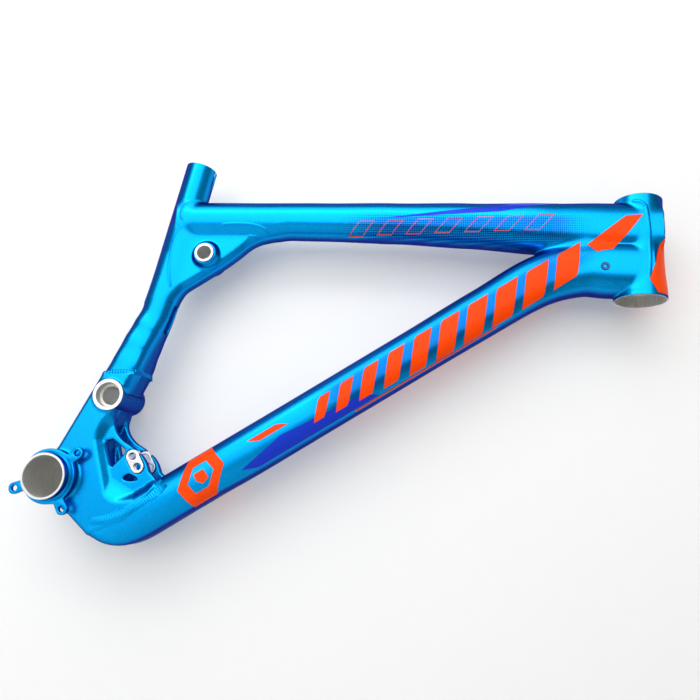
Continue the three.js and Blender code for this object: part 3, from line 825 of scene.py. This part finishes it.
def halftone(r, slope, s, u):
    """Dots in a fading band along a tube. s and u are its fades: start, full, full, end."""
    per_metre, full_size = 520.0, 0.46
    split = r.node("ShaderNodeSeparateXYZ")
    r.link(r.object_space(rotation=(0, slope, 0)), split.inputs["Vector"])
    mask = None
    for axis, (a, b, c, d) in (("X", s), ("Z", u)):
        for edges in ((a, b), (d, c)):
            fade = r.ramp(split.outputs[axis], edges[0] * MM, edges[1] * MM)
            mask = r.maths("MULTIPLY", mask, fade) if mask else fade
    flat = r.node("ShaderNodeCombineXYZ")
    r.link(split.outputs["X"], flat.inputs["X"])
    r.link(split.outputs["Z"], flat.inputs["Y"])
    dots = r.texture("ShaderNodeTexVoronoi", flat.outputs["Vector"], Scale=per_metre,
                     voronoi_dimensions="2D", Randomness=0.0)
    return r.maths("LESS_THAN", dots.outputs["Distance"], r.maths("MULTIPLY", mask, full_size))


def metallic_paint(name, face, edge, roughness=0.3, dots=None):
    """Metallic paint with fine flake and a little orange peel. It deepens towards the edge: partly the
    tinted coat's real flop, partly painted shade on the tubes' edges and undersides.
    """
    flake, drift = 0.06, 0.05
    r = Recipe(name)
    at = r.object_space()
    facing = r.node("ShaderNodeLayerWeight", Blend=0.42).outputs["Facing"]
    flakes = r.texture("ShaderNodeTexVoronoi", at, Scale=2600.0)
    grains = r.node("ShaderNodeSeparateColor")
    r.link(flakes.outputs["Color"], grains.inputs["Color"])
    cloud = r.texture("ShaderNodeTexNoise", at, Scale=9.0, Detail=2.0)
    level = r.maths("MULTIPLY", r.spread(grains.outputs["Red"], 1 - flake, 1 + flake),
                    r.spread(cloud.outputs["Fac"], 1 - drift, 1 + drift))
    shade = r.node("ShaderNodeVectorMath", operation="SCALE")
    # painted shade: where the surface turns away from the view, the colour goes to the deep one. This
    # is partly the coat's real flop and partly shade painted onto edges and undersides.
    r.link(r.mixed(r.ramp(facing, 0.1, 0.68), face, edge), shade.inputs[0])
    r.link(level, shade.inputs["Scale"])
    colour = shade.outputs["Vector"]
    if dots:
        colour = r.mixed(halftone(r, *dots), colour, DOT_BLUE)
    r.feed("Base Color", colour)
    r.feed("Roughness", r.spread(grains.outputs["Green"], roughness - 0.05, roughness + 0.06))
    r.settings({"Metallic": 0.95, "Specular Tint": (0.02, 0.25, 0.7, 1), "Coat Weight": 0.06,
                "Coat Roughness": 0.12})
    r.bump(r.texture("ShaderNodeTexNoise", at, Scale=340.0, Detail=1.0).outputs["Fac"], 0.02, 0.0006)
    return r.material


def machined(name, tint, roughness, turning=0.25, metallic=0.95):
    """Bare machined aluminium with fine turning marks round the Y axis."""
    r = Recipe(name)
    marks = r.texture("ShaderNodeTexNoise", r.object_space((40, 900, 40)),
                      Scale=1.0, Detail=5.0, Roughness=0.7).outputs["Fac"]
    dark, light = (tuple(min(1, c * k) for c in tint) for k in (1 - turning, 1 + turning * 0.4))
    r.feed("Base Color", r.spread(marks, dark, light))
    r.feed("Roughness", r.spread(marks, roughness - 0.08, roughness + 0.1))
    r.settings({"Metallic": metallic})
    r.bump(marks, 0.25, 0.0002)
    return r.material


def ink(name, colour, roughness=0.42, metallic=0.0):
    """Printed graphic with the soft grain of its film."""
    r = Recipe(name)
    grain = r.texture("ShaderNodeTexNoise", r.object_space(), Scale=700.0, Detail=3.0).outputs["Fac"]
    dark, light = (tuple(c * k for c in colour) for k in (0.95, 1.05))
    r.feed("Base Color", r.spread(grain, dark, light))
    r.feed("Roughness", r.spread(grain, roughness - 0.05, roughness + 0.05))
    r.settings({"Metallic": metallic, "Coat Weight": 0.05, "Coat Roughness": 0.15,
                "Specular IOR Level": 0.1})
    return r.material


# the deep colour is partly the coat's real flop at grazing angles and partly painted shade for the
# tubes' dark edges and undersides
CYAN, DEEP_FLOP_AND_SHADE = (0.0, 0.34, 0.80), (0.0, 0.05, 0.26)
DOT_BLUE = (0.004, 0.05, 0.34)
paint = metallic_paint("cyan_paint", CYAN, DEEP_FLOP_AND_SHADE)
down_paint = metallic_paint("cyan_paint_down_tube", CYAN, DEEP_FLOP_AND_SHADE, dots=(
    DOWN_SLOPE, (240, 300, 560, 640), [-DOWN_LINE + u for u in (-26, -8, 8, 20)]))
top_paint = metallic_paint("cyan_paint_top_tube", CYAN, DEEP_FLOP_AND_SHADE, dots=(
    TOP_SLOPE, (240, 340, 500, 570), [TOP_LINE - u for u in (60, 40, 26, 12)]))
weld_paint = metallic_paint("weld_paint", CYAN, DEEP_FLOP_AND_SHADE, roughness=0.34)
bare = machined("bare_ring", (0.86, 0.87, 0.88), 0.3)
bore_metal = machined("bare_bore", (0.80, 0.79, 0.75), 0.45, 0.6, metallic=0.6)
rivnut_metal = machined("dark_insert", (0.05, 0.12, 0.25), 0.4)
orange = ink("orange_ink", (1.0, 0.065, 0.0))
royal = ink("royal_ink", (0.012, 0.045, 0.62), 0.35, 0.3)
outline_ink = ink("outline_ink", (0.62, 0.10, 0.10), 0.45)


# ---- the painted body ----
def head_ends(at):
    """The flat ends of the head tube, which its liner closes instead."""
    r, h = head_axis(*at.T)
    return ((h < 1.5) & (r < 25.4)) | ((h > HEAD_LENGTH - 1.5) & (r < 23.6))


build_field()
points, quads, normals, mine, left = skin()
painted = Surface(points, quads)
for index, node_name in enumerate(owners):
    keep = mine == index
    if node_name.startswith("rocker_boss"):
        for name, on_side in (("rocker_boss_right", ~left), ("rocker_boss_left", left)):
            piece = new_mesh(name + "_skin", *part(points, quads, normals, keep & on_side))
            dress(piece, "frame", "boss_paint", paint, stands_for=[name])
        continue
    if node_name == "head_tube":
        keep &= ~head_ends(points[quads].mean(1) / MM)
    piece = new_mesh(node_name + "_skin", *part(points, quads, normals, keep))
    own_paint = {"down_tube": down_paint, "top_tube": top_paint}.get(node_name, paint)
    dress(piece, "frame", "frame_paint", own_paint, stands_for=[node_name])


# ---- machined pieces ----
def sleeve(name, node_name, g, seat_r, bore):
    """A sleeve: painted outside (material 0), bare at its ends and bore (1 and 2)."""
    r, half, lip = g["r"], g["half"], g["half"] - g["seat"]
    ramp, inside, outside = 0.8, 0.5, 0.45      # the seat's ramp and the end's two chamfers
    near = [(bore, lip - ramp, 2), (seat_r, lip, 2), (seat_r, half - inside, 1),
            (seat_r + inside, half, 1), (r - outside, half, 0), (r, half - outside, 0)]
    far = [(r, -half + outside, 1), (r - outside, -half, 1), (seat_r + inside, -half, 1),
           (seat_r, -half + inside, 2), (seat_r, -lip, 2), (bore, -lip + ramp, 2)]
    piece = turned(name, (g.get("x", 0), g.get("z", 0)), near + far)
    return dress(piece, "frame", "bare_aluminium", paint, bare, bore_metal, stands_for=[node_name])


sleeve("bottom_bracket_shell", "bb_shell", BB, BB["bore"], BB["relief"])
sleeve("main_pivot_tube", "main_pivot_barrel", PIVOT, PIVOT["seat_r"], PIVOT["bore"])
sleeve("rocker_sleeve", "rocker_pivot_sleeve", ROCKER, ROCKER["bore"], ROCKER["bore"])


for side, word in SIDES:
    # a bare chip with round ends, and a hole at the centre of each end
    c, s = (CHIP["reach"] * f(CHIP["turn"]) for f in (math.cos, math.sin))
    low, high = ((CHIP["x"] + e * c, CHIP["z"] + e * s) for e in (-1, 1))
    turn, r = math.degrees(CHIP["turn"]), CHIP["r"]
    ends = arc(*high, r, turn - 90, turn + 90, 24) + arc(*low, r, turn + 90, turn + 270, 24)
    holes = [circle(*low, CHIP["hole"]), circle(*high, CHIP["hole"])]
    y0, y1 = sorted((side * CHIP["inner"], side * CHIP["outer"]))
    piece = flat_piece("shock_chip_" + word, [ends, *holes], y0, y1, 0.5)
    dress(piece, "chip_" + word, "bare_aluminium", bare, stands_for=["flip_chip_" + word])


def guide_plate():
    """Hub ring with three ears, filleted where each ear leaves the ring."""
    g = GUIDE
    angles = sorted((g["turn"] + math.radians(d)) % (2 * math.pi) for d in (0, 160, 260))
    fillet = 9
    grid = np.linspace(24, 46, 441)     # radii that the rim is looked for between
    rim = []
    for a in np.arange(720) * math.pi / 360:
        x, z = grid * math.cos(a), grid * math.sin(a)
        d = grid - g["hub"]
        for e in angles:
            ear = np.hypot(x - g["bcd"] * math.cos(e), z - g["bcd"] * math.sin(e)) - g["ear"]
            d = soft_min(d, ear, fillet)
        r = grid[np.nonzero(d <= 0)[0][-1]]
        rim.append((r * math.cos(a), r * math.sin(a)))
    rim = smooth(rim, 3, True)
    holes = [circle(g["bcd"] * math.cos(e), g["bcd"] * math.sin(e), g["hole"]) for e in angles]
    piece = flat_piece("chain_guide_mount", [rim, circle(0, 0, BB["r"] + 0.05, 96), *holes],
                       g["face"], g["face"] + g["thick"], 0.9)
    return dress(piece, "frame", "frame_paint", paint, stands_for=["chain_guide_plate"])


guide_plate()


def head_liner():
    """The bare bore of the head tube with its two headset seats, and the tube's two ends."""
    top, skin_over = HEAD_LENGTH, 0.06
    bore_side = [(24.8, 0.4, 2), (24.8, 13.6, 2), (21.4, 14.4, 2), (21.4, top - 14, 2),
                 (22.0, top - 13.9, 2), (22.0, top - 0.4, 1), (22.4, top + skin_over, 1)]
    paint_side = [(r, h, 0) for r, h in (
        (23.9, top + skin_over), (24.36, top - 0.5), (24.36, top - 2.5), (22.9, top - 4),
        (22.9, 24), (25.1, 15.5), (25.2, 8), (26.16, 2.5), (26.16, 0.5))]
    foot_end = [(25.7, -skin_over, 1), (25.2, -skin_over, 1)]
    piece = turned("head_tube_liner", HEAD_BOTTOM, bore_side + paint_side + foot_end, 128,
                   (-HEAD_COS, 0, HEAD_SIN))
    return dress(piece, "frame", "bare_aluminium", paint, bare, bore_metal)


head_liner()


def seat_rim():
    """The clean-cut end of the seat tube, open where the clamp slot passes."""
    inner, outer, thick = SEAT_RIM["inner"], SEAT_RIM["outer"], SEAT_RIM["thick"]
    gap = math.degrees(math.asin(SEAT_SLOT["half"] / inner))
    ring = arc(0, 0, outer, gap, 360 - gap, 96) + arc(0, 0, inner, 360 - gap, gap, 96)
    piece = flat_piece("seat_tube_rim", [ring], -thick / 2, thick / 2, 0.25)
    c, s = SEAT_COS, SEAT_SIN
    x, z = on_seat(SEAT_TOP - thick / 2)
    piece.data.transform(Matrix(((s, -c, 0, x * MM), (0, 0, -1, 0), (c, s, 0, z * MM), (0, 0, 0, 1))))
    return dress(piece, "frame", "frame_paint", paint)


seat_rim()


def rivnut():
    """The threaded insert in the down tube's right side: a flange on a short barrel."""
    g, (low, high) = RIVNUT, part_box("cable_rivnut")
    face, end = low.y / MM, high.y / MM
    hole, flange, barrel, lip = g["bore"], g["flange"], g["barrel"], face + g["lip"]
    piece = turned("cable_insert", (g["x"], g["z"]), [(r, y, 0) for r, y in (
        (hole, end), (hole, face + 0.5), (hole + 0.4, face), (flange - 0.6, face), (flange, face + 0.6),
        (flange, lip), (barrel, lip), (barrel, end))], 48)
    return dress(piece, "frame", "dark_anodised", rivnut_metal, stands_for=["cable_rivnut"])


rivnut()


# ---- weld beads on the painted body ----
def weld(name, path, width, height, stands_for=(), **style):
    piece = bead(name, path, width, height, **style)
    return dress(piece, "frame", "weld_paint", weld_paint, stands_for=stands_for)


SEAT_WELD = dict(x=1.9, z=124.0, slope=math.radians(28))
slope = (math.cos(SEAT_WELD["slope"]), 0, math.sin(SEAT_WELD["slope"]))
weld("seat_tube_bead", ring_path(painted, (SEAT_WELD["x"], 0, SEAT_WELD["z"]), slope, (0, 1, 0)),
     6.4, 0.8, stands_for=["weld_seat_tube"], closed=True, pitch=3, ripple=0.3)
DOWN_WELD = outline([(54, -23), (73, -12, 89, 8), (100, 22, 105, 50)])
JOINT_WELDS = {
    "tongue": outline([(11, 316.4), (22, 324, 41, 332), (63, 339, 63, 331), (60, 325, 42, 320)]),
    "seat_top": outline([(-27, 301), (-37, 309, -36, 319), (-33, 331, -22, 337), (-17, 339, -11, 339)]),
    "seat_gusset": outline([(-28, 301), (-27, 276, -19, 259), (-12, 240, 0, 228)])}
HEAD_WELD = outline([(396, 531), (408, 536, 414, 530), (426, 508), (440, 480, 447, 454)])
for side, word in SIDES:
    weld("down_tube_bead_" + word, side_path(painted, DOWN_WELD, side), 13, 0.75,
         stands_for=["weld_down_tube_" + word], pitch=2.6, ripple=0.17, taper=16)
    for joint, line in JOINT_WELDS.items():
        weld(f"{joint}_bead_{word}", side_path(painted, line, side), 4.6, 0.6, taper=5)
    weld("head_bead_" + word, side_path(painted, HEAD_WELD, side), 4.6, 0.7,
         pitch=2.2, ripple=0.13, taper=6)
    torus_fillet("rocker_fillet_" + word, (ROCKER["x"], ROCKER["z"]), ROCKER["base"] + 0.1,
                 side * GUSSET_HALF, 1.3, side, ["weld_rocker_" + word])
    rest = -GUIDE["face"] if side < 0 else HUB_SHOULDER
    torus_fillet("bottom_bracket_fillet_" + word, (0, 0), BB["r"], side * rest, 1.8, side,
                 ["weld_bb_" + word])


# ---- graphics on both sides ----
def slanted(s0, s1, u0, u1, lean=0.7, nick=5):
    """A slanted block with two corners cut off."""
    slip = (u1 - u0) * lean
    return [(s0, u0), (s1 - nick, u0), (s1, u0 + nick * 0.8), (s1 + slip, u1), (s0 + slip + nick, u1),
            (s0 + slip, u1 - nick * 0.6)]


def hexagon_ring(s, u, r, inner, lean):
    """A leaning hexagon round (s, u), as six flat bars."""
    def corner(k, radius):
        a = math.radians(60 * k)
        return (s + radius * math.cos(a) + lean * radius * math.sin(a), u + radius * math.sin(a) * 0.92)

    return [[corner(k, r), corner(k + 1, r), corner(k + 1, inner), corner(k, inner)] for k in range(6)]


def bar_row():
    """Slanted bars that grow towards the head tube."""
    bars, at, gap = [], 258, 8.5
    for grow in np.arange(10) / 9:
        wide = 16 + 15 * grow
        low, high = -12 - 9 * min(1, 2 * grow), 8 + 3 * math.sin(math.pi * grow)
        bars.append(slanted(at, at + wide, low, high, 0.75, 4))
        at += wide + gap
    return bars


def hollow(s, d0, d1, wide, line=0.9, lean=0.9):
    """A slanted frame of thin lines on the top tube, as four strips."""
    h = d1 - d0
    a, b, c, e = (s, d1), (s + wide, d1), (s + wide + h * lean, d0), (s + h * lean, d0)
    return [[a, b, (b[0], d1 - line), (a[0], d1 - line)], [e, c, (c[0], d0 + line), (e[0], d0 + line)],
            [a, e, (e[0] + line, d0), (a[0] + line, d1)], [b, c, (c[0] - line, d0), (b[0] - line, d1)]]


BARS = [down_frame(bar) for bar in bar_row()]
EMBLEM = [down_frame(edge) for edge in hexagon_ring(133, 0, 27, 15, 0.35)] + [
    down_frame([(139, 6), (128, 6), (127, -1), (132, -7), (140, -4)])]
DASHES = [down_frame([(190, 7), (224, 7), (236, 1), (202, 1)]),
          down_frame([(300, -21.2), (470, -21.8), (470, -22.8), (300, -22.2)])]
NECK = [(377, 467), (399, 512), (414, 521), (409, 498), (402, 473), (388, 463)]
WEDGE = down_frame([(171, -15), (223, -5), (313, -12), (330, -20.5), (238, -20.5), (187, -20.5)])
TOP_WEDGE = top_frame([(324, 24), (452, 8), (470, 3.4), (515, 3.6), (452, 16)])
FRAMES = [top_frame(strip) for i in range(7)
          for strip in hollow(290 + 31 * i, 27 - 1.2 * i, 41 - 0.6 * i, 16)]
GRAPHICS = (
    (orange, 0.16, {"bars": BARS, "neck_block": [NECK], "emblem": EMBLEM, "dashes": DASHES}),
    (royal, 0.12, {"down_wedge": [WEDGE], "top_wedge": [TOP_WEDGE]}),
    (outline_ink, 0.2, {"top_frames": FRAMES}))
for side, word in SIDES:
    for colour, lift, prints in GRAPHICS:
        for name, shapes in prints.items():
            decal(f"{name}_{word}", shapes, painted, from_side(side), colour, lift)
PATCH = [(0, 98), (-16.3, 79), (-38.6, 16), (-30.9, 2.5), (30.9, 2.5), (38.6, 16), (16.3, 79)]
decal("head_patch", [PATCH], painted, round_head, orange, lift=0.3, cell=1.0)


# ---- staging ----
TARGET = Vector((0.2, 0.0, 0.26))
ROLL = math.radians(26)
ABOVE = Vector((-math.sin(ROLL), 0, math.cos(ROLL)))     # up in the picture
ASIDE = Vector((math.cos(ROLL), 0, math.sin(ROLL)))      # right in the picture
NEARER = Vector((0, -1, 0))                              # from the frame towards the camera


def sheet_of_light(name, place, size, power):
    """A soft panel whose long side runs across the picture."""
    lamp = bpy.data.lights.new(name, "AREA")
    lamp.shape, lamp.size, lamp.size_y = "RECTANGLE", *size
    lamp.energy = power
    back = (place - TARGET).normalized()
    upright = back.cross(ASIDE).normalized()
    turn = Matrix((upright.cross(back), upright, back)).transposed()
    placed(name, lamp).matrix_world = Matrix.Translation(place) @ turn.to_4x4()


def plain_plane(name, corners, colour, one_sided, glow=0.0):
    """A pale sheet. A one-sided sheet can't be seen from behind."""
    r = Recipe(name)
    grain = r.texture("ShaderNodeTexNoise", r.object_space(), Scale=60.0, Detail=3.0).outputs["Fac"]
    r.feed("Base Color", r.spread(grain, tuple(c * 0.985 for c in colour), colour))
    r.settings({"Roughness": 0.9, "Emission Color": (1, 1, 1, 1), "Emission Strength": glow})
    if one_sided:
        choice = r.node("ShaderNodeMixShader")
        r.link(r.node("ShaderNodeNewGeometry").outputs["Backfacing"], choice.inputs[0])
        r.link(r.shader.outputs[0], choice.inputs[1])
        r.link(r.node("ShaderNodeBsdfTransparent").outputs[0], choice.inputs[2])
        r.link(choice.outputs[0], r.tree.nodes["Material Output"].inputs["Surface"])
    piece = new_mesh(name, corners, [(0, 1, 2, 3)])
    piece.data.materials.append(r.material)
    piece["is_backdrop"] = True


BACK_Y, FLOOR_Z, FAR_OUT = 0.0475, -0.36, 3.0
ends = (-FAR_OUT, FAR_OUT, FAR_OUT, -FAR_OUT)
plain_plane("backdrop", [(x, BACK_Y, max(z, FLOOR_Z)) for x, z in zip(ends, sorted(ends))],
            (0.76, 0.76, 0.755), True, 0.17)
plain_plane("floor", [(x, y, FLOOR_Z) for x, y in zip(ends, sorted(ends))], (0.74, 0.74, 0.735), False)
sheet_of_light("front", TARGET + ABOVE * 0.62 - ASIDE * 0.1 + NEARER * 1.5, (2.7, 1.5), 25)
sheet_of_light("key", TARGET + ABOVE * 1.15 - ASIDE * 0.3 + NEARER * 0.9, (1.7, 0.8), 9)
sheet_of_light("rear", Vector((0.2, 1.4, 1.2)), (1.5, 1.0), 14)

world = bpy.data.worlds.new("studio")
bpy.context.scene.world = world
world.use_nodes = True
background = world.node_tree.nodes["Background"].inputs
background["Color"].default_value, background["Strength"].default_value = (1, 1, 1, 1), 0.24

# the photograph's camera, solved from the tubes' round ends
LENS, EYE, AIM = 31.89, (0.32432, -0.64517, 0.15897), (0.614497, 0.749611, -0.117599, 0.215980)
camera = bpy.data.cameras.new("camera")
camera.sensor_width, camera.sensor_height, camera.sensor_fit = 36, 36, "AUTO"
camera.lens, camera.clip_start, camera.clip_end = LENS, 0.01, 20
viewer = placed("camera", camera)
viewer.location = EYE
viewer.rotation_mode, viewer.rotation_quaternion = "QUATERNION", AIM
bpy.context.scene.camera = viewer
bpy.context.scene.view_settings.view_transform = "Standard"

low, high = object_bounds()
